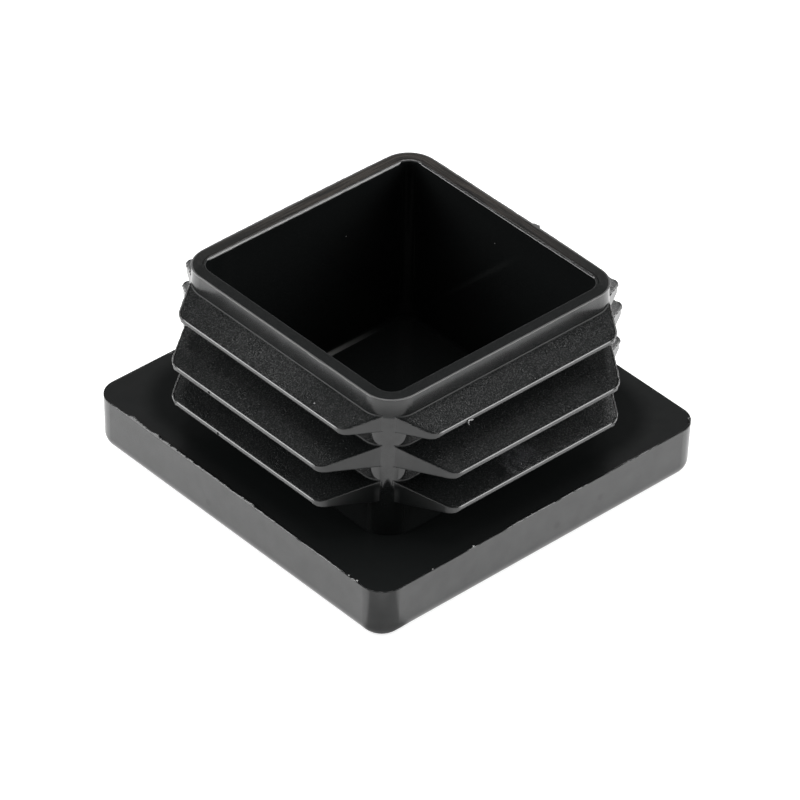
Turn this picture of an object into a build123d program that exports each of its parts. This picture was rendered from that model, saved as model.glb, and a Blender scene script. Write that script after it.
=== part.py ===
from build123d import *
from math import asin, cos, radians, sin, sqrt, tan
import os

# Square ribbed insert that closes the open end of a square tube: one moulded piece.
# Z = 0 is the outer face of the head, on which the cap stands, and the hollow stem with
# its flexible fins rises along +Z. The Z axis runs through the centre.

# Head: the visible plate that covers the tube's end.
head_side = 50.0
head_thickness = 7.0
head_corner_radius = 3.0
head_edge_radius = 1.8          # round between the outer face and the sides
head_draft = 1.3                # degrees, sides draw in towards the outer face

# Stem: the square sleeve that enters the tube.
stem_side = 36.0
stem_height = 19.2              # above the seating face
stem_corner_radius = 3.7
stem_wall = 1.7                 # at the rim
lead_in_height = 2.2            # slightly tapered top of the stem, above the highest fins
lead_in_slope = 1.8             # degrees
rim_outer_round = 0.15
rim_inner_round = 0.2

# Cavity: the hollow inside the stem, which sinks into the head.
cavity_floor = 3.5              # head left under the cavity
cavity_draft = 0.3              # degrees, narrows towards the floor
cavity_floor_round = 0.6

# Fins: levels of wedges on each side, which bend over as the cap is pushed in.
fin_slope = 20.5                # degrees, the upper face falls away from the stem
fin_underside_slope = 0.8       # degrees, the lower face falls away from the stem
fin_land = 0.7                  # height of the blunt tip
fin_tip_round = 0.28            # along the tip's two edges
fin_root_round = 0.15           # where the upper face leaves the stem
fin_first_tip = 5.5             # lowest level's tip above the seating face
fin_rim_gap = 3.8               # from the highest level's tip up to the rim
fin_standouts = (5.55, 5.55, 3.4)  # how far each level reaches from the stem, from the head up
fin_end_cut = 31.3              # degrees, the ends run back from the fin's outward direction
fin_corner_radius = 2.0         # at the tip, seen from above
corner_gap = 1.2                # bare strip of the stem's corner between neighbouring fins

SIDES = 4
SEAT = Plane.XY.offset(head_thickness)
RIM = SEAT.offset(stem_height)
RIM_TO_FLOOR = head_thickness + stem_height - cavity_floor
FIN_PITCH = (stem_height - fin_first_tip - fin_rim_gap) / (len(fin_standouts) - 1)


def head():
    """Plate with drafted sides and a rounded outer edge."""
    outline = SEAT * RectangleRounded(head_side, head_side, head_corner_radius)
    plate = extrude(outline, amount=-head_thickness, taper=head_draft)
    outer_edges = plate.faces().sort_by(Axis.Z)[0].edges()
    return fillet(outer_edges, head_edge_radius)


def stem():
    """Solid square sleeve before the cavity is taken out; its foot stands inside the head."""
    outline = RIM * RectangleRounded(stem_side, stem_side, stem_corner_radius)
    return extrude(outline, amount=-RIM_TO_FLOOR)


def stem_flank():
    """Stem's +X side and its two corners, run on straight beyond the square's diagonals."""
    half = stem_side / 2
    corner_centre = half - stem_corner_radius
    reach = 2 * corner_centre + sqrt(2) * stem_corner_radius
    outline = Polygon(
        (0, -reach), (half, half - reach), (half, reach - half), (0, reach),
        align=None,
    )
    outline = fillet(outline.vertices().group_by(Axis.X)[-1], stem_corner_radius)
    return extrude(RIM * outline, amount=-RIM_TO_FLOOR)


def cavity():
    """Tapered hollow with a rounded floor, open at the rim."""
    mouth_side = stem_side - 2 * stem_wall
    outline = RIM * RectangleRounded(mouth_side, mouth_side, stem_corner_radius - stem_wall)
    hollow = extrude(outline, amount=-RIM_TO_FLOOR, taper=cavity_draft)
    floor_edges = hollow.faces().sort_by(Axis.Z)[0].edges()
    return fillet(floor_edges, cavity_floor_round)


def fin_section(tip_top, standout):
    """Section of a fin on the +X side, from inside the stem's wall out to its blunt tip."""
    inner = stem_side / 2 - stem_corner_radius
    tip = stem_side / 2 + standout
    tip_bottom = tip_top - fin_land
    section = Polygon(
        (inner, tip_top + (tip - inner) * tan(radians(fin_slope))),
        (tip, tip_top),
        (tip, tip_bottom),
        (inner, tip_bottom + (tip - inner) * tan(radians(fin_underside_slope))),
        align=None,
    )
    return fillet(section.vertices().group_by(Axis.X)[-1], fin_tip_round)


def fin_outline(standout):
    """Fin on the +X side seen from above, its ends cut back from the stem's corners.

    The cuts run on inside the stem as far as the square's diagonals.
    """
    tip = stem_side / 2 + standout
    corner_centre = stem_side / 2 - stem_corner_radius
    root_angle = radians(180 / SIDES) - asin(corner_gap / 2 / stem_corner_radius)
    root_x = corner_centre + stem_corner_radius * cos(root_angle)
    root_y = corner_centre + stem_corner_radius * sin(root_angle)
    cut = tan(radians(fin_end_cut))
    tip_y = root_y - (tip - root_x) * cut
    diagonal = (root_y + root_x * cut) / (1 + cut)
    outline = Polygon(
        (0, 0), (diagonal, -diagonal), (tip, -tip_y), (tip, tip_y), (diagonal, diagonal),
        align=None,
    )
    return fillet(outline.vertices().group_by(Axis.X)[-1], fin_corner_radius)


def fin(level, standout):
    """Wedge fin on the +X side, its upper face blended into the stem, then cut to its outline."""
    tip_top = head_thickness + fin_first_tip + level * FIN_PITCH
    section = Plane.XZ * fin_section(tip_top, standout)
    wedge = extrude(section, amount=stem_side / 2, both=True)
    flank = stem_flank()
    joined = wedge + flank
    roots = new_edges(wedge, flank, combined=joined)
    upper_roots = [edge for edge in roots if edge.center().Z > tip_top]
    blended = fillet(upper_roots, fin_root_round)
    return blended & extrude(RIM * fin_outline(standout), amount=-RIM_TO_FLOOR)


def ribbed_stem():
    """Stem with every level of fins on all its sides."""
    fins = [fin(level, standout) for level, standout in enumerate(fin_standouts)]
    return stem() + [side * blade for blade in fins for side in PolarLocations(0, SIDES)]


def lead_in():
    """Thin ring taken off round the stem's top, so that it finds its way into the tube."""
    start = RIM.offset(-lead_in_height)
    outline = start * RectangleRounded(stem_side, stem_side, stem_corner_radius)
    tapered = extrude(outline, amount=lead_in_height, taper=lead_in_slope)
    return extrude(start * Rectangle(head_side, head_side), amount=lead_in_height) - tapered


def end_cap():
    """The whole moulding, its rim rounded inside and out."""
    body = head() + ribbed_stem() - lead_in() - cavity()
    rim = body.faces().sort_by(Axis.Z)[-1]
    body = fillet(rim.inner_wires()[0].edges(), rim_inner_round)
    rim = body.faces().sort_by(Axis.Z)[-1]
    return fillet(rim.outer_wire().edges(), rim_outer_round)


cap = end_cap()
os.makedirs("parts", exist_ok=True)
export_step(cap, "parts/end_cap.step")
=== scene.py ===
from functools import cached_property
from math import asin, cos, pi, radians, sin, tan

import bpy
from mathutils import Matrix, Vector, noise


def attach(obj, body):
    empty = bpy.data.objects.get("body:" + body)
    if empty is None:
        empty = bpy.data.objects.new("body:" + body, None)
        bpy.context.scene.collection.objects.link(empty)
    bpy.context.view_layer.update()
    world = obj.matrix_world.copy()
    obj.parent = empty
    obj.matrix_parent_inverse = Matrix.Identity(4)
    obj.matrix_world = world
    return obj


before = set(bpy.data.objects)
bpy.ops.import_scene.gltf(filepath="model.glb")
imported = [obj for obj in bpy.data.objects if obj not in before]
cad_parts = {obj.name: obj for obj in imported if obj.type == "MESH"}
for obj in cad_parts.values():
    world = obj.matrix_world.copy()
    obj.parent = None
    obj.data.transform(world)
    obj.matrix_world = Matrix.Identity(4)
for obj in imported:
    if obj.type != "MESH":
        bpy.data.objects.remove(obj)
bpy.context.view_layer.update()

MM = 0.001
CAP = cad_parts["end_cap"]

# The cap's own dimensions, in millimetres; heights count from the surface it stands on.
HEAD_HALF = 25.0
HEAD_CORNER = 3.0
LEDGE = 7.0
RIM = 26.2
STEM_HALF = 18.0
STEM_CORNER = 3.7
STEM_WALL = 1.7
FIN_TIPS = ((12.5, 5.55), (17.45, 5.55), (22.4, 3.4))  # height and standout of each level
FIN_SLOPE = radians(20.5)
FIN_END_CUT = radians(31.3)
FIN_CORNER = 2.0
CORNER_GAP = 1.2
SIDES = 4

# Camera, aimed near the centre of the head's seating face.
CAMERA_AZIMUTH = radians(227.028)
CAMERA_ELEVATION = radians(37.546)
CAMERA_ROLL = radians(1.553)
CAMERA_DISTANCE = 692.3 * MM
CAMERA_AIM = Vector((0, 0, LEDGE * MM))
CAMERA_AIM_RIGHT = 0.354 * MM
CAMERA_AIM_UP = 0.724 * MM
CAMERA_LENS = 268.83
CAMERA_SENSOR = 36.0
CAMERA_CLIP = 10 * MM
IMAGE_LEFT = CAMERA_AZIMUTH - pi / 2
IMAGE_RIGHT = CAMERA_AZIMUTH + pi / 2
IMAGE_BACK = CAMERA_AZIMUTH + pi


class Nodes:
    """Short calls that add and link the shader nodes of one tree."""

    def __init__(self, tree):
        self.tree = tree
        tree.nodes.clear()

    def add(self, kind, inputs=None, **settings):
        node = self.tree.nodes.new(kind)
        for name, value in settings.items():
            setattr(node, name, value)
        for name, value in (inputs or {}).items():
            self.feed(node.inputs[name], value)
        return node

    def feed(self, socket, value):
        if isinstance(value, bpy.types.NodeSocket):
            self.tree.links.new(value, socket)
        else:
            socket.default_value = value

    def math(self, operation, *values):
        node = self.add("ShaderNodeMath", operation=operation)
        for socket, value in zip(node.inputs, values):
            self.feed(socket, value)
        return node.outputs[0]

    def blend(self, factor, low, high, **settings):
        """Value that runs from low to high with the factor."""
        inputs = {"Factor": factor, "A": low, "B": high}
        return self.add("ShaderNodeMix", inputs, **settings).outputs["Result"]

    def tint(self, factor, low, high):
        """Colour that runs from low to high with the factor."""
        return self.blend(factor, low, high, data_type="RGBA", clamp_factor=False)

    def layers(self, base, masked):
        """Base value under several layers, each a mask and the value that it lays on."""
        result = base
        for mask, value in masked:
            result = self.blend(mask, result, value)
        return result

    def step(self, value, start, end, shape="SMOOTHSTEP"):
        """0 where the value is before start and 1 past end; end may be the lower one."""
        inputs = {"Value": value, "From Min": start, "From Max": end}
        return self.add("ShaderNodeMapRange", inputs, interpolation_type=shape).outputs["Result"]

    def band(self, value, rise, top, end, fall):
        """1 where the value lies between top and end, fading to 0 at rise and fall."""
        return self.math("MULTIPLY", self.step(value, rise, top), self.step(value, fall, end))

    def noise(self, vector, scale, detail=2.0, roughness=0.5):
        inputs = {"Vector": vector, "Scale": scale, "Detail": detail, "Roughness": roughness}
        return self.add("ShaderNodeTexNoise", inputs).outputs["Fac"]

    def along(self, vector, towards):
        """How far the vector reaches in a direction."""
        inputs = {0: vector, 1: towards}
        return self.add("ShaderNodeVectorMath", inputs, operation="DOT_PRODUCT").outputs["Value"]

    def split(self, vector):
        """Outputs X, Y and Z of a vector."""
        return self.add("ShaderNodeSeparateXYZ", {"Vector": vector}).outputs

    def place(self):
        """Place on the piece, in millimetres."""
        inputs = {0: self.add("ShaderNodeTexCoord").outputs["Object"], 1: (1 / MM, 1 / MM, 1 / MM)}
        return self.add("ShaderNodeVectorMath", inputs, operation="MULTIPLY").outputs["Vector"]

    def normal(self):
        return self.add("ShaderNodeNewGeometry").outputs["Normal"]

    def principled(self, inputs):
        """Ends a material's tree with one surface shader."""
        surface = self.add("ShaderNodeBsdfPrincipled", inputs)
        self.add("ShaderNodeOutputMaterial", {"Surface": surface.outputs[0]})


def new_material(name):
    material = bpy.data.materials.new(name)
    material.use_nodes = True
    return material, Nodes(material.node_tree)


def link(item):
    bpy.context.scene.collection.objects.link(item)


def direction(azimuth, elevation):
    """Unit vector towards an azimuth and elevation, counted from +X."""
    flat = cos(elevation)
    return Vector((flat * cos(azimuth), flat * sin(azimuth), sin(elevation)))


def add_camera():
    towards = direction(CAMERA_AZIMUTH, CAMERA_ELEVATION)
    level_right = (-towards).cross(Vector((0, 0, 1))).normalized()
    level_up = level_right.cross(-towards)
    right = level_right * cos(CAMERA_ROLL) + level_up * sin(CAMERA_ROLL)
    up = level_up * cos(CAMERA_ROLL) - level_right * sin(CAMERA_ROLL)
    aim = CAMERA_AIM + right * CAMERA_AIM_RIGHT + up * CAMERA_AIM_UP
    data = bpy.data.cameras.new("camera")
    data.lens = CAMERA_LENS
    data.sensor_width = CAMERA_SENSOR
    data.clip_start = CAMERA_CLIP
    camera = bpy.data.objects.new("camera", data)
    turn = Matrix((right, up, towards)).transposed().to_4x4()
    camera.matrix_world = Matrix.Translation(aim + towards * CAMERA_DISTANCE) @ turn
    link(camera)
    bpy.context.scene.camera = camera


# Softboxes: name, azimuth, elevation, distance, width and height in metres, and brightness.
LAMPS = (
    ("softbox_left", IMAGE_LEFT, radians(25), 0.5, 0.5, 0.28, 6.0),
    ("softbox_right", IMAGE_RIGHT, radians(25), 0.5, 0.5, 0.28, 5.5),
    ("softbox_top", IMAGE_BACK, radians(80), 0.6, 0.45, 0.4, 3.4),
)


def add_softbox(name, azimuth, elevation, distance, width, height, brightness):
    """Rectangular lamp that faces the cap; its brightness is its surface's radiance."""
    data = bpy.data.lights.new(name, "AREA")
    data.shape = "RECTANGLE"
    data.size = width
    data.size_y = height
    data.energy = brightness * pi * width * height
    lamp = bpy.data.objects.new(name, data)
    towards = direction(azimuth, elevation)
    lamp.location = towards * distance
    lamp.rotation_euler = towards.to_track_quat("Z", "Y").to_euler()
    link(lamp)


def seen_directly(nodes, plain, mirrored):
    """Brightness for rays that show the background itself, or its mirror image."""
    path = nodes.add("ShaderNodeLightPath").outputs
    sharp = nodes.math("MAXIMUM", path["Is Glossy Ray"], path["Is Transmission Ray"])
    sharp = nodes.math("MULTIPLY", sharp, mirrored)
    return nodes.math("MULTIPLY_ADD", path["Is Camera Ray"], plain, sharp)


FLOOR_HALF = 3.0
FLOOR_HEIGHT = -0.02 * MM  # just under the cap, so that the two faces don't coincide
FLOOR_WHITE = (0.85, 0.85, 0.85, 1)
FLOOR_ROUGHNESS = 0.15
FLOOR_GLOW = (1, 1, 1, 1)
FLOOR_SEEN = 0.7
FLOOR_MIRRORED = 0.9
# Shaded wedge of the floor: where it starts, how much its half width grows for each metre ahead,
# the soft edge of its sides, and where it fades out.
WEDGE_START = 30.6 * MM
WEDGE_SPREAD = 1.1
WEDGE_EDGE = 2.2 * MM
WEDGE_END = (39 * MM, 44 * MM)


def floor_material():
    """Glossy white table, with a little glow of its own for the camera and mirrors.

    The mirrored glow leaves out a small shaded wedge in front of the cap's corner.
    """
    material, nodes = new_material("white_table")
    place = nodes.add("ShaderNodeTexCoord").outputs["Object"]
    aside = nodes.math("ABSOLUTE", nodes.along(place, direction(IMAGE_RIGHT, 0)))
    ahead = nodes.along(place, direction(CAMERA_AZIMUTH, 0))
    beside = nodes.math("MULTIPLY_ADD", ahead, -WEDGE_SPREAD, aside)
    side = -WEDGE_SPREAD * WEDGE_START
    clear = nodes.step(beside, side, side + WEDGE_EDGE)
    lit = nodes.math("MAXIMUM", clear, nodes.step(ahead, *WEDGE_END))
    glow = seen_directly(nodes, FLOOR_SEEN, nodes.blend(lit, 0.0, FLOOR_MIRRORED))
    nodes.principled({
        "Base Color": FLOOR_WHITE,
        "Roughness": FLOOR_ROUGHNESS,
        "Emission Color": FLOOR_GLOW,
        "Emission Strength": glow,
    })
    return material


def add_floor():
    signs = ((-1, -1), (1, -1), (1, 1), (-1, 1))
    corners = [(x * FLOOR_HALF, y * FLOOR_HALF, FLOOR_HEIGHT) for x, y in signs]
    mesh = bpy.data.meshes.new("floor")
    mesh.from_pydata(corners, [], [(0, 1, 2, 3)])
    mesh.materials.append(floor_material())
    floor = bpy.data.objects.new("floor", mesh)
    link(floor)


SWEEP = 1.0
SWEEP_LOW = radians(8)
SWEEP_HIGH = radians(24)
AMBIENT = 0.16


def add_world():
    """Dim studio with a white sweep along the horizon."""
    world = bpy.data.worlds.new("studio")
    world.use_nodes = True
    nodes = Nodes(world.node_tree)
    toward = nodes.add("ShaderNodeTexCoord").outputs["Generated"]
    dim = nodes.step(nodes.split(toward)["Z"], sin(SWEEP_LOW), sin(SWEEP_HIGH))
    strength = nodes.blend(dim, seen_directly(nodes, SWEEP, SWEEP), AMBIENT)
    surface = nodes.add("ShaderNodeBackground", {"Strength": strength})
    nodes.add("ShaderNodeOutputWorld", {"Surface": surface.outputs[0]})
    bpy.context.scene.world = world


def fin_root():
    """Where a fin's end leaves the stem's corner on the +X side, seen from above."""
    centre = STEM_HALF - STEM_CORNER
    angle = pi / SIDES - asin(CORNER_GAP / 2 / STEM_CORNER)
    return Vector((centre + STEM_CORNER * cos(angle), centre + STEM_CORNER * sin(angle), 0))


# Direction from the centre to the cap's front corner, roughly.
FRONT = direction(radians(227), 0)

# Limits that several regions share. Limits on how the surface faces:
UPWARD = (0.9, 0.99)
UPRIGHT = (-0.2, -0.1, 0.1, 0.2)
NEAR_SIDE = (-0.2, -0.3)
# Limits on the height, and on the farther back of X and Y:
MIDDLE_FINS = (16.0, 16.6, 20.5, 21.0)
COLLAR_LOW = 23.8
BACK_SIDES = (15.5, 16.0)
FRONT_SIDES = BACK_SIDES[::-1]

# Small marks: their places and sizes, in millimetres.
TIP_NICKS = ((-23.5, 5.99, 17.2), (-23.5, 4.42, 12.25))
TIP_NICK_SIZE = 0.24
SIDE_SPOTS = ((-25, 4.5, 2.9), (9.0, -25, 4.0), (2.2, -25, 3.4))
SIDE_SPOT_SIZE = 0.55
SMUDGE = (-1.2, -22.3, 13.0)
SMUDGE_SIZE = 3.0
SMUDGE_CORE = (-4.4, -22.1, 13.0)
SMUDGE_CORE_SIZE = 1.0
MARK_MIDDLE = 0.6  # share of a mark's size that has its full strength

# Streaks on the rim's back half: how finely they change across the rim and along it.
STREAKS_ACROSS = 3.2
STREAKS_ALONG = 0.16


class Regions:
    """Masks, 0 to 1, that tell the cap's surfaces apart by place and by the way they face.

    Lengths are in millimetres. Front, left and right are as seen from the corner at -X and -Y.
    """

    def __init__(self, nodes):
        self.nodes = nodes
        self.place = nodes.place()
        at, facing = nodes.split(self.place), nodes.split(nodes.normal())
        self.measures = {
            "x": at["X"],
            "y": at["Y"],
            "height": at["Z"],
            "ahead": nodes.along(self.place, FRONT),
            "farther_back": nodes.math("MAXIMUM", at["X"], at["Y"]),
            "off_stem": self.distance_from_stem(at),
            "faces_x": facing["X"],
            "faces_y": facing["Y"],
            "faces_up": facing["Z"],
            "slants": nodes.math("ABSOLUTE", nodes.math("MULTIPLY", facing["X"], facing["Y"])),
        }

    def distance_from_stem(self, at):
        """Distance outside the stem's rounded square."""
        nodes = self.nodes
        past = []
        for side in (at["X"], at["Y"]):
            beyond = nodes.math("SUBTRACT", nodes.math("ABSOLUTE", side), STEM_HALF - STEM_CORNER)
            past.append(nodes.math("MAXIMUM", beyond, 0.0))
        past = nodes.add("ShaderNodeCombineXYZ", {"X": past[0], "Y": past[1]}).outputs[0]
        length = nodes.add("ShaderNodeVectorMath", {0: past}, operation="LENGTH")
        return nodes.math("SUBTRACT", length.outputs["Value"], STEM_CORNER)

    def where(self, *masks, **limits):
        """Product of masks and of limits on the measures.

        Two limits make a step from the first to the second, and four make a band.
        """
        factors = list(masks)
        for name, edges in limits.items():
            limit = self.nodes.step if len(edges) == 2 else self.nodes.band
            factors.append(limit(self.measures[name], *edges))
        result = factors[0]
        for factor in factors[1:]:
            result = self.nodes.math("MULTIPLY", result, factor)
        return result

    def near(self, spots, size):
        """Small round marks at given places."""
        result = 0.0
        for spot in spots:
            inputs = {0: self.place, 1: spot}
            gap = self.nodes.add("ShaderNodeVectorMath", inputs, operation="DISTANCE")
            mark = self.nodes.step(gap.outputs["Value"], size, MARK_MIDDLE * size)
            result = self.nodes.math("MAXIMUM", result, mark)
        return result

    @cached_property
    def in_head(self):
        return self.where(height=(LEDGE + 0.3, LEDGE + 0.1))

    @cached_property
    def head_side(self):
        return self.where(self.in_head, faces_up=(-0.9, -0.5, 0.3, 0.6), off_stem=(4, 5))

    @cached_property
    def ledge(self):
        return self.where(self.in_head, faces_up=UPWARD, off_stem=(-1.3, -1.1))

    # Ledge round the stem's foot, dimmed with painted shade.
    @cached_property
    def ledge_near_stem(self):
        return self.where(self.ledge, off_stem=(6.5, 3.5))

    @cached_property
    def ledge_at_front(self):
        """Ledge between the stem's front corner and the head's, dimmed with painted shade."""
        return self.where(self.ledge, ahead=(22, 28))

    @cached_property
    def under_fins(self):
        """Stem's wall and foot below the lowest fins, dimmed with painted shade."""
        heights = (LEDGE - 0.2, LEDGE - 0.1, 12.9, 14.3)
        return self.where(height=heights, off_stem=(-1.3, -1.1, 0.2, 0.5))

    @cached_property
    # Corner of the stem under the fins, where the painted shade is lighter.
    def corner_under_fins(self):
        return self.where(self.under_fins, slants=(0.1, 0.3))

    @cached_property
    def on_fin(self):
        return self.where(height=(LEDGE + 0.1, LEDGE + 0.3), off_stem=(0.05, 0.12))

    @cached_property
    def tip_edge(self):
        """Upper edge of the fins' blunt tips, given a painted highlight."""
        return self.where(self.on_fin, off_stem=(2.6, 3.0), faces_up=(0.15, 0.35, 0.7, 0.85))

    @cached_property
    def fin_end(self):
        return self.where(self.on_fin, slants=(0.15, 0.2), faces_up=UPRIGHT)

    @cached_property
    def low_fin_end(self):
        """Ends of the lowest fins, from 0 at the tip to 1 at the stem: painted shade, darkest at
        the stem.
        """
        return self.where(self.fin_end, height=(15.0, 14.0), off_stem=(5.5, -0.2))

    @cached_property
    def root(self):
        """Inner corner between each fin's upper face and the stem."""
        return self.where(
            off_stem=(-0.1, 0.0, 0.15, 0.3),
            height=(LEDGE + 1, LEDGE + 1.2, RIM - 1, RIM - 0.8),
            faces_up=(0.05, 0.2, 0.9, 0.95),
        )

    @cached_property
    def slope(self):
        """Upper faces of the fins."""
        return self.where(self.on_fin, faces_up=(0.80, 0.90, 0.95, 0.97))

    @cached_property
    def slope_or_root(self):
        return self.nodes.math("MAXIMUM", self.slope, self.root)

    @cached_property
    def fin_end_shadow_strip(self):
        """Narrow strip of painted shadow on the upper faces along the fins' ends at the front
        corner.
        """
        nodes, root, cut = self.nodes, fin_root(), tan(FIN_END_CUT)
        sides = [nodes.math("ABSOLUTE", self.measures[axis]) for axis in "xy"]
        outward, beside = nodes.math("MAXIMUM", *sides), nodes.math("MINIMUM", *sides)
        reach = nodes.math("MULTIPLY_ADD", outward, cut, beside)
        inside = nodes.math("SUBTRACT", root.y + root.x * cut, reach)
        return self.where(self.slope, nodes.band(inside, 0.02, 0.05, 0.22, 0.4), ahead=(20, 22))

    # Lowest fins' upper faces, dimmed with painted shade.
    @cached_property
    def low_slope(self):
        return self.where(self.slope, height=(16.0, 14.5))

    @cached_property
    def right_end_of_low_fin(self):
        """Lowest fin on the right, lifted with painted light where light gets in under the next
        one.
        """
        return self.where(self.low_slope, faces_y=NEAR_SIDE, x=(-7, 3))

    @cached_property
    def front_of_middle_fin(self):
        """Middle fin on the left, shaded towards the front corner."""
        return self.where(self.slope, height=MIDDLE_FINS, faces_x=NEAR_SIDE, y=(3, -12))

    @cached_property
    def shaded_outer_middle_fin(self):
        """Outer part of the middle fins, dimmed with painted shade."""
        return self.where(self.slope, height=MIDDLE_FINS, off_stem=(2.5, 4.4))

    # Highest fins, dimmed with painted shade; less in the middle of the left one, more at its
    # front.
    @cached_property
    def top_fin(self):
        return self.where(self.slope, height=(21.0, 21.6))

    @cached_property
    def middle_of_top_left_fin(self):
        return self.where(self.top_fin, faces_x=NEAR_SIDE, y=(-8, -1, 3, 10))

    @cached_property
    def front_of_top_left_fin(self):
        return self.where(self.top_fin, faces_x=NEAR_SIDE, y=(-3, -12))

    @cached_property
    def smudge_pattern(self):
        return self.nodes.blend(self.nodes.noise(self.place, 0.9, 3.0, 0.6), -1.6, 1.6)

    @cached_property
    def smudge(self):
        """Dull patch on the lowest fin on the right."""
        patchy = self.nodes.step(self.smudge_pattern, -0.7, 0.4)
        return self.where(self.slope, patchy, self.near([SMUDGE], SMUDGE_SIZE))

    @cached_property
    def smudge_core(self):
        """Dark spot beside the smudge."""
        patchy = self.nodes.step(self.smudge_pattern, 0.6, -0.2)
        return self.where(self.slope, patchy, self.near([SMUDGE_CORE], SMUDGE_CORE_SIZE))

    @cached_property
    def collar(self):
        """Stem's wall between the highest fins and the rim."""
        heights = (COLLAR_LOW - 0.3, COLLAR_LOW)
        return self.where(faces_up=UPRIGHT, off_stem=(-0.5, -0.2, 0.02, 0.05), height=heights)

    @cached_property
    def low_collar(self):
        """The collar, more so towards the fins: painted shade near the fins."""
        return self.where(self.collar, height=(RIM - 0.3, COLLAR_LOW))

    @cached_property
    def rim(self):
        return self.where(height=(RIM - 0.12, RIM - 0.02), faces_up=UPWARD)

    @cached_property
    def front_rim(self):
        return self.where(self.rim, farther_back=FRONT_SIDES)

    @cached_property
    def back_rim_groove_shade(self):
        """Painted shade of a groove beside the burr on the rim's two back sides."""
        groove = (-1.46, -1.42, -1.34, -1.26)
        return self.where(self.rim, farther_back=BACK_SIDES, off_stem=groove)

    @cached_property
    def back_rim_streaks(self):
        """Lighter grey streaks round the back half of the rim."""
        nodes = self.nodes
        stretched = nodes.add("ShaderNodeCombineXYZ", {
            "X": nodes.math("MULTIPLY", self.measures["off_stem"], STREAKS_ACROSS),
            "Y": nodes.math("MULTIPLY", self.measures["x"], STREAKS_ALONG),
            "Z": nodes.math("MULTIPLY", self.measures["y"], STREAKS_ALONG),
        }).outputs[0]
        streaks = nodes.step(nodes.noise(stretched, 1.0, 3.0, 0.65), 0.32, 0.62)
        return self.where(self.rim, nodes.blend(streaks, 0.1, 1.6), ahead=(4, -16))

    @cached_property
    def mouth_edge(self):
        """Rounded inner edge of the rim's two back sides, given a painted highlight to match the
        burr on it.
        """
        edge = (-1.9, -1.8, -1.5, -1.42)
        return self.where(height=(RIM - 0.3, RIM - 0.2), farther_back=BACK_SIDES, off_stem=edge)

    @cached_property
    def cavity_foot(self):
        """Round between the cavity's walls and its floor, darkened with painted shade."""
        between = (0.05, 0.15, 0.985, 0.998)
        return self.where(self.in_head, off_stem=(-1.6, -1.8), faces_up=between)

    @cached_property
    def foot_highlight_line(self):
        """Painted highlight along the cavity's foot at the back, strongest near the middle of that
        side.
        """
        thins = self.nodes.step(self.measures["x"], 12.8, 3.0, shape="LINEAR")
        foot = self.where(height=(3.9, 3.62), y=(15.5, 15.65), off_stem=(-1.4, -1.6), x=(-3, 2))
        return self.where(foot, thins, thins)

    # Nicks in the fins' tips, drawn as painted shade.
    @cached_property
    def tip_nicks(self):
        return self.near(TIP_NICKS, TIP_NICK_SIZE)

    @cached_property
    def side_spots(self):
        return self.near(SIDE_SPOTS, SIDE_SPOT_SIZE)


PLASTIC_BLACK = (0.0072, 0.0080, 0.0080, 1)
BACK_RIM_STREAK_GREY = (0.026, 0.0235, 0.021, 1)
SMUDGE_GREY = (0.021, 0.022, 0.024, 1)
SMUDGE_COVER = 0.8
FOOT_HIGHLIGHT_GREY = (0.2, 0.2, 0.195, 1)
PLASTIC_IOR = 1.52
EDGE_ROUND = 0.15 * MM
EDGE_SAMPLES = 6
GRAIN_SCALE = 5.5
GRAIN_DEPTH = 0.06 * MM
RIM_GRAIN = 0.6
SPECKLE_SCALE = 5.4


def plastic_colour(nodes, cap):
    colour = nodes.tint(cap.back_rim_streaks, PLASTIC_BLACK, BACK_RIM_STREAK_GREY)
    colour = nodes.tint(nodes.math("MULTIPLY", cap.smudge, SMUDGE_COVER), colour, SMUDGE_GREY)
    # The cavity's foot at the back gets a pale painted highlight.
    return nodes.tint(cap.foot_highlight_line, colour, FOOT_HIGHLIGHT_GREY)


def plastic_roughness(nodes, cap):
    return nodes.layers(0.08, (
        (cap.slope, nodes.blend(nodes.noise(cap.place, 0.3), 0.21, 0.35)),
        (cap.root, 0.5),
        (cap.rim, 0.27),
        (cap.ledge, 0.28),
        (cap.fin_end, 0.28),
        (cap.head_side, 0.2),
        (cap.collar, 0.2),
    ))


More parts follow.
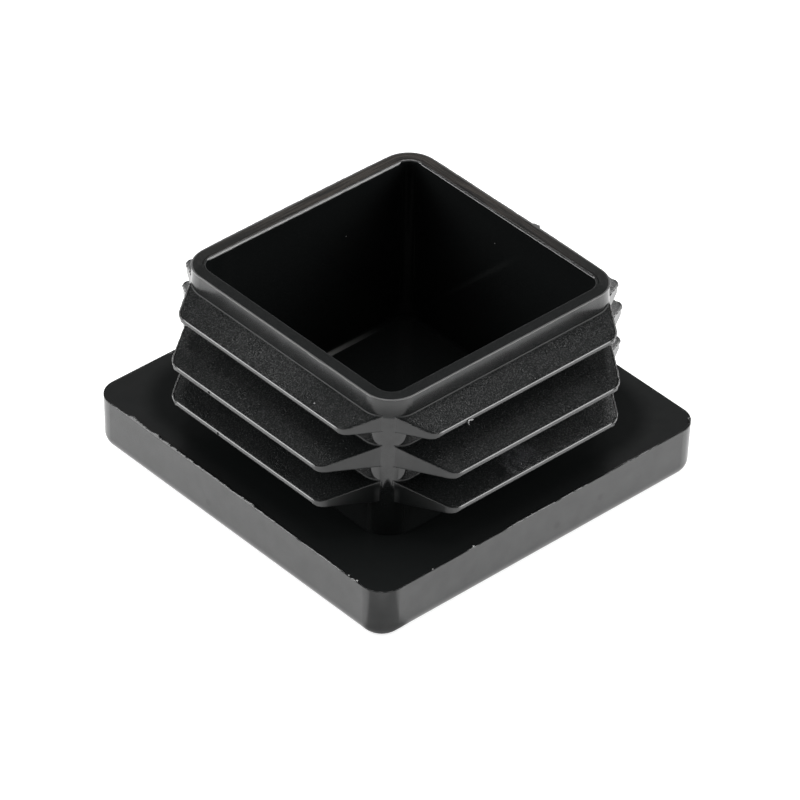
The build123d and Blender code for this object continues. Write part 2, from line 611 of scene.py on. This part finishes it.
def plastic_gloss(nodes, cap):
    """Specular level, with the speckle of the grain and large faint patches, and painted shade and
    painted highlights on many of the cap's regions.
    """
    gloss = nodes.layers(0.5, (
        (cap.slope_or_root, 0.36),
        # Painted shade and painted light on the fins' upper faces, fin by fin.
        (cap.low_slope, 0.22),
        (cap.right_end_of_low_fin, 0.62),
        (cap.front_of_middle_fin, 0.19),
        (cap.shaded_outer_middle_fin, 0.18),
        (cap.top_fin, 0.25),
        (cap.middle_of_top_left_fin, 0.34),
        (cap.front_of_top_left_fin, 0.2),
        # Painted highlight on the tips' upper edges.
        (cap.tip_edge, 1.0),
        (cap.smudge, 0.9),
        (cap.smudge_core, 0.12),
        # Painted shade: along the fins' ends, round the stem's foot, on the collar, on the lowest
        # fins' ends, under the fins, at the ledge's front and in the cavity's foot.
        (cap.fin_end_shadow_strip, 0.08),
        (cap.ledge_near_stem, 0.1),
        (cap.low_collar, 0.22),
        (cap.low_fin_end, 0.0),
        (cap.under_fins, 0.06),
        (cap.corner_under_fins, 0.24),
        (cap.ledge_at_front, 0.2),
        (cap.cavity_foot, 0.0),
        (cap.front_rim, 0.28),
        # Painted shade in the rim's groove, painted highlight on its back inner edge, painted
        # shade in the tips' nicks.
        (cap.back_rim_groove_shade, 0.0),
        (cap.mouth_edge, 1.0),
        (cap.tip_nicks, 0.0),
        (cap.side_spots, 0.42),
    ))
    speckle = nodes.noise(cap.place, SPECKLE_SCALE, 2.0, 0.8)
    speckle = nodes.layers(1.0, (
        (cap.rim, nodes.blend(nodes.step(speckle, 0.3, 0.7), 0.65, 1.35)),
        (cap.slope, nodes.blend(nodes.step(speckle, 0.42, 0.74), 0.42, 2.8)),
    ))
    patches = nodes.blend(nodes.noise(cap.place, 0.45, 3.0, 0.6), 0.78, 1.22)
    return nodes.math("MULTIPLY", gloss, nodes.math("MULTIPLY", speckle, patches))


def plastic_normal(nodes, cap):
    """Softened edges, but for the stem's sharp foot, and the grain's bump."""
    soft = nodes.add("ShaderNodeBevel", {"Radius": EDGE_ROUND}, samples=EDGE_SAMPLES).outputs[0]
    smooth = nodes.blend(cap.under_fins, soft, nodes.normal(), data_type="VECTOR")
    bump = nodes.add("ShaderNodeBump", {
        "Strength": nodes.math("MAXIMUM", cap.slope, nodes.math("MULTIPLY", cap.rim, RIM_GRAIN)),
        "Distance": GRAIN_DEPTH,
        "Height": nodes.noise(cap.place, GRAIN_SCALE, 1.5, 0.6),
        "Normal": smooth,
    })
    return bump.outputs[0]


def plastic():
    """Black polyethylene: polished head and stem, spark-eroded grain on the fins."""
    material, nodes = new_material("black_plastic_look")
    cap = Regions(nodes)
    nodes.principled({
        "Base Color": plastic_colour(nodes, cap),
        "Roughness": plastic_roughness(nodes, cap),
        "IOR": PLASTIC_IOR,
        "Specular IOR Level": plastic_gloss(nodes, cap),
        "Normal": plastic_normal(nodes, cap),
    })
    return material


# How white the squeezed-out plastic is: as cut, with painted highlight on the rim's flash and the
# left burr, and where it was torn off, on the crumbs.
BURR_BLACK = 0.0075
RIM_FLASH_PAINTED_HIGHLIGHT = 0.09
LEFT_BURR_PAINTED_HIGHLIGHT = 0.2
CRUMB_WHITENING = 0.35
BURR_GLOSS = 0.8
BURR_BUMP = 0.5
BURR_BUMP_DEPTH = 0.05 * MM


def burr_plastic(white=BURR_BLACK):
    """The same black polyethylene where it was squeezed out thin."""
    material, nodes = new_material("burr_plastic")
    uneven = nodes.noise(nodes.place(), 4.0)
    bump = {"Strength": BURR_BUMP, "Distance": BURR_BUMP_DEPTH, "Height": uneven}
    nodes.principled({
        "Base Color": (white, white, white, 1),
        "Roughness": nodes.blend(uneven, 0.1, 0.25),
        "IOR": PLASTIC_IOR,
        "Specular IOR Level": BURR_GLOSS,
        "Normal": nodes.add("ShaderNodeBump", bump).outputs[0],
    })
    return material


def swept(name, sweeps, material):
    """One piece from several sweeps: each is a list of rings, and closed on itself or capped."""
    points, faces = [], []
    for rings, closed in sweeps:
        first, size = len(points), len(rings[0])
        points += [point * MM for ring in rings for point in ring]
        joins = len(rings) if closed else len(rings) - 1
        for index in range(joins):
            here = first + index * size
            there = first + (index + 1) % len(rings) * size
            for side in range(size):
                after = (side + 1) % size
                faces.append((here + side, here + after, there + after, there + side))
        if not closed:
            last = first + (len(rings) - 1) * size
            faces.append(tuple(range(first, first + size)))
            faces.append(tuple(range(last + size - 1, last - 1, -1)))
    mesh = bpy.data.meshes.new(name)
    mesh.from_pydata(points, [], faces)
    mesh.shade_smooth()
    mesh.materials.append(material)
    piece = bpy.data.objects.new(name, mesh)
    link(piece)
    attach(piece, "root")


def rounded_square(half, corner, step):
    """Stations round a rounded square: each is a point and its outward direction."""
    flat = half - corner
    stations = []
    for quarter in range(SIDES):
        turn = Matrix.Rotation(quarter * pi / 2, 3, "Z")
        count = round(2 * flat / step)
        for index in range(count):
            along = 2 * flat * index / count - flat
            stations.append((turn @ Vector((half, along, 0)), turn @ Vector((1, 0, 0))))
        bends = round(corner * pi / 2 / step)
        for index in range(bends):
            out = direction(pi / 2 * index / bends, 0)
            stations.append((turn @ (Vector((flat, flat, 0)) + out * corner), turn @ out))
    return stations


def ragged(place, scale, layer):
    """Uneven number between -1 and 1 that changes along the cap's edges."""
    return noise.noise(Vector((place.x * scale, place.y * scale, layer)))


def swell(place, least, swells):
    """Size at a place: the least one, and a flat-topped rise round each swell's centre."""
    size = least
    for centre, half_length, rise in swells:
        away = (place.xy - Vector(centre)).length / half_length
        size += rise * max(0.0, 1 - away**4)
    return size


FLASH_STEP = 0.1
FLASH_SET_BACK = 0.003
FLASH_LEAST = 0.012
FLASH_WIDTH = 0.26
FLASH_SINK = 0.15
FLASH_FOOT = 0.04
FLASH_TAPER = 0.03
FLASH_BENDS = 6
# Height of the flash left on the head's edge: centre of each swell, its half length and rise.
FLASH_SWELLS = (
    ((-25, 7), 15.0, 0.21),
    ((-25, 17), 1.6, 0.22),
    ((-25, 13.9), 0.9, 0.2),
    ((-25, 11), 1.3, 0.09),
    ((-25, -2.5), 1.4, 0.1),
    ((-25, -8.5), 2.5, 0.1),
    ((-25, -15), 4.0, 0.1),
    ((-25, -20.5), 0.5, 0.1),
    ((-2.0, -25), 4.0, 0.13),
    ((4.5, -25), 2.5, 0.07),
    ((14, -25), 4.5, 0.04),
    ((-10.8, -25), 1.0, 0.07),
    ((24.3, -24.3), 0.7, 0.25),
    ((25, 5), 9.0, 0.07),
    ((0, 25), 14.0, 0.06),
)


def flash_ring(place, out):
    """Section of the flash: a thin upright lip with a rounded top, its foot inside the head."""
    width = FLASH_WIDTH * (1 + 0.5 * ragged(place, 1.7, 4))
    fine = 0.45 * ragged(place, 2.1, 2) + 0.4 * ragged(place, 4.5, 3)
    uneven = 1 + 0.3 * ragged(place, 0.8, 1) + fine
    top = LEDGE + swell(place, FLASH_LEAST, FLASH_SWELLS) * uneven
    sunk, low = LEDGE - FLASH_SINK, LEDGE - FLASH_FOOT
    ring = [(FLASH_TAPER, sunk), (0, low)]
    for index in range(FLASH_BENDS + 1):
        angle = pi * index / FLASH_BENDS
        height = top - width / 2 * (1 - sin(angle))
        ring.append((width / 2 * (1 - cos(angle)), max(low, height)))
    ring += [(width, low), (width - FLASH_TAPER, sunk)]
    return [place - out * depth + Vector((0, 0, height)) for depth, height in ring]


def add_head_flash(material):
    """Ragged lip along the head's upper edge."""
    stations = rounded_square(HEAD_HALF - FLASH_SET_BACK, HEAD_CORNER, FLASH_STEP)
    rings = [flash_ring(place, out) for place, out in stations]
    swept("head_flash", [(rings, True)], material)


def bead_rings(points, radii, sides=8):
    """Rings of a thin round bead along a line of points."""
    rings = []
    for index, (point, radius) in enumerate(zip(points, radii)):
        ahead = points[min(index + 1, len(points) - 1)] - points[max(index - 1, 0)]
        across = ahead.cross(Vector((0, 0, 1))).normalized()
        over = across.cross(ahead).normalized()
        angles = [2 * pi * side / sides for side in range(sides)]
        around = [across * cos(angle) + over * sin(angle) for angle in angles]
        rings.append([point + out * radius for out in around])
    return rings


def fade(index, last, first_steps, last_steps, least):
    """Share of its full radius that a bead has near either end of its line."""
    return min(1.0, index / first_steps + least, (last - index) / last_steps + least)


BEAD_RADIUS = 0.15
BEAD_SINK = 0.5 * BEAD_RADIUS
FRONT_BEAD = 0.45  # share of that radius at the front corner
BEAD_LINE_STEPS = 30
BEAD_CORNER_STEPS = 20


def fin_end_line(tip_height, standout):
    """Upper edge of a fin's end on the +X side, from the root round the tip's corner."""
    tip = STEM_HALF + standout
    root = fin_root()
    corner = Vector((tip, root.y - (tip - root.x) * tan(FIN_END_CUT), 0))
    turn = pi / 2 - FIN_END_CUT
    reach = FIN_CORNER / tan((pi - turn) / 2)
    start = corner + (root - corner).normalized() * reach
    middle = Vector((tip - FIN_CORNER, corner.y - reach, 0))
    line = [root.lerp(start, index / BEAD_LINE_STEPS) for index in range(BEAD_LINE_STEPS)]
    for index in range(BEAD_CORNER_STEPS + 1):
        out = direction(turn * (1 - index / BEAD_CORNER_STEPS), 0)
        line.append(middle + out * FIN_CORNER)
    return [Vector((p.x, p.y, tip_height + (tip - p.x) * tan(FIN_SLOPE))) for p in line]


def fin_end_bead(points):
    front = points[0].dot(FRONT) > STEM_HALF
    size = BEAD_RADIUS * (FRONT_BEAD if front else 1)
    radii = []
    for index, point in enumerate(points):
        share = fade(index, len(points) - 1, 4, 6, 0.1)
        radii.append(size * share * (1 + 0.35 * ragged(point, 2.0, point.z)))
    return bead_rings([point - Vector((0, 0, BEAD_SINK)) for point in points], radii)


def add_fin_end_beads(material):
    """Fine raised line that the mould's joint leaves round both ends of every fin."""
    sweeps = []
    for tip_height, standout in FIN_TIPS:
        line = fin_end_line(tip_height, standout)
        for quarter in range(SIDES):
            turn = Matrix.Rotation(quarter * pi / 2, 3, "Z")
            for mirror in (1, -1):
                points = [turn @ Vector((p.x, p.y * mirror, p.z)) for p in line]
                sweeps.append((fin_end_bead(points), False))
    swept("fin_end_beads", sweeps, material)


RIM_FLASH_STEP = 0.12
RIM_FLASH_DROP = 0.005
RIM_FLASH_LEAST = 0.01
# How far the rim's outer edge stands out: centre of each swell, its half length and rise.
RIM_SWELLS = (
    ((0, 18), 15.0, 0.12),
    ((18, 1), 15.0, 0.1),
    ((18, -3.3), 0.6, 0.22),
    ((-18, -6), 1.6, 0.09),
    ((-18, 9), 4.0, 0.04),
    ((-18, -13), 3.0, 0.04),
    ((5, -18), 9.0, 0.04),
)
# Section of the lip: how far out each point lies, and how far down. The points of its root
# count from the rim's edge, and those of its own edge from as far as it stands out.
LIP_ROOT_TOP = ((-0.4, 0.0), (-0.1, 0.0))
LIP_EDGE = ((-0.05, 0.0), (-0.01, 0.03), (0.0, 0.07), (-0.03, 0.12))
LIP_ROOT_LOW = ((-0.1, 0.2), (-0.4, 0.2))


def rim_flash_ring(place, out):
    fine = 0.4 * ragged(place, 2.4, 6) + 0.3 * ragged(place, 5, 7)
    uneven = 1 + 0.3 * ragged(place, 0.7, 5) + fine
    reach = swell(place, RIM_FLASH_LEAST, RIM_SWELLS) * uneven
    edge = [(reach + depth, drop) for depth, drop in LIP_EDGE]
    ring = [*LIP_ROOT_TOP, *edge, *LIP_ROOT_LOW]
    top = RIM - RIM_FLASH_DROP
    return [place + out * depth + Vector((0, 0, top - drop)) for depth, drop in ring]


def add_rim_flash(material):
    """Thin lip that the mould's joint leaves round the rim's outer edge."""
    stations = rounded_square(STEM_HALF, STEM_CORNER, RIM_FLASH_STEP)
    rings = [rim_flash_ring(place, out) for place, out in stations]
    swept("rim_flash", [(rings, True)], material)


MOUTH = STEM_HALF - STEM_WALL + 0.02
LEFT_BURR = (Vector((-15.2, MOUTH, 0)), Vector((14.9, MOUTH, 0)), 0.2)  # ends and radius
RIGHT_BURR = (Vector((MOUTH, 14.9, 0)), Vector((MOUTH, -15.3, 0)), 0.17)
BURR_DROP = 0.01
BURR_STEPS = 200
BURR_SIDES = 12


def add_mouth_burr(name, start, end, radius, material):
    """Rounded burr along the inner edge of one side of the rim."""
    low = Vector((0, 0, RIM - radius - BURR_DROP))
    points = [start.lerp(end, index / BURR_STEPS) + low for index in range(BURR_STEPS + 1)]
    radii = []
    for index, point in enumerate(points):
        uneven = 0.85 + 0.2 * ragged(point, 0.6, 11) + 0.15 * ragged(point, 3, 12)
        radii.append(radius * fade(index, BURR_STEPS, 5, 5, 0.2) * uneven)
    swept(name, [(bead_rings(points, radii, BURR_SIDES), False)], material)


# Curl of plastic: points from one end to the other, counted from its start, and their radii.
CURL_START = Vector((-9.0, -21.35, 22.0))
CURL = (
    ((0.1, -0.15, -0.5), 0.03),
    ((-0.1, -0.2, -0.35), 0.06),
    ((-0.15, -0.24, -0.12), 0.07),
    ((-0.03, -0.16, 0.02), 0.075),
    ((0, -0.05, 0.1), 0.075),
    ((0.2, -0.25, 0.12), 0.07),
    ((0.42, -0.28, 0.1), 0.06),
    ((0.6, -0.25, 0.02), 0.03),
)
# Places of the crumbs, and their half length.
CRUMBS = (
    ((-20.57, -8.59, 22.72), 0.11),
    ((-24.85, 10.6, 7.15), 0.12),
    ((-24.88, 7.9, 7.12), 0.08),
    ((-24.86, -19.6, 7.1), 0.1),
    ((-24.8, -20.9, 7.08), 0.12),
    ((-17.0, -24.88, 7.08), 0.09),
    ((-10.8, -24.85, 7.12), 0.12),
    ((-1.9, -24.87, 7.1), 0.1),
    ((-16.3, -15.7, 26.11), 0.06),
    ((-15.9, -16.3, 26.11), 0.07),
    ((-15.3, -16.7, 26.11), 0.06),
    ((-16.45, 8.1, 26.1), 0.08),
    ((24.05, -23.75, 7.1), 0.13),
    ((6.31, 16.26, 19.37), 0.06),
    ((16.26, 1.55, 21.83), 0.05),
)
# Profile of a crumb: places along it and radii, as shares of its half length.
CRUMB_PROFILE = ((-1.0, 0.2), (-0.6, 0.75), (0.0, 0.9), (0.6, 0.7), (1.0, 0.2))


def crumb_rings(place, size):
    lean = Vector((ragged(place, 3, 8), ragged(place, 3, 9), 0.4 * ragged(place, 3, 10)))
    half = lean.normalized() * size
    points = [place + half * reach for reach, radius in CRUMB_PROFILE]
    return bead_rings(points, [size * radius for reach, radius in CRUMB_PROFILE])


def add_loose_bits(material):
    """Curl of plastic under the highest fin on the right, and crumbs left on the edges."""
    curl = [CURL_START + Vector(turn) for turn, radius in CURL]
    sweeps = [(bead_rings(curl, [radius for turn, radius in CURL]), False)]
    sweeps += [(crumb_rings(Vector(place), size), False) for place, size in CRUMBS]
    swept("loose_bits", sweeps, material)


add_camera()
add_floor()
add_world()
for lamp in LAMPS:
    add_softbox(*lamp)
CAP.material_slots[0].material = plastic()
burr = burr_plastic()
add_head_flash(burr)
add_fin_end_beads(burr)
# The rim's flash and the left burr are paled as painted highlight.
add_rim_flash(burr_plastic(RIM_FLASH_PAINTED_HIGHLIGHT))
add_mouth_burr("mouth_burr_left", *LEFT_BURR, burr_plastic(LEFT_BURR_PAINTED_HIGHLIGHT))
add_mouth_burr("mouth_burr_right", *RIGHT_BURR, burr)
add_loose_bits(burr_plastic(CRUMB_WHITENING))
bpy.context.scene.view_settings.view_transform = "Standard"
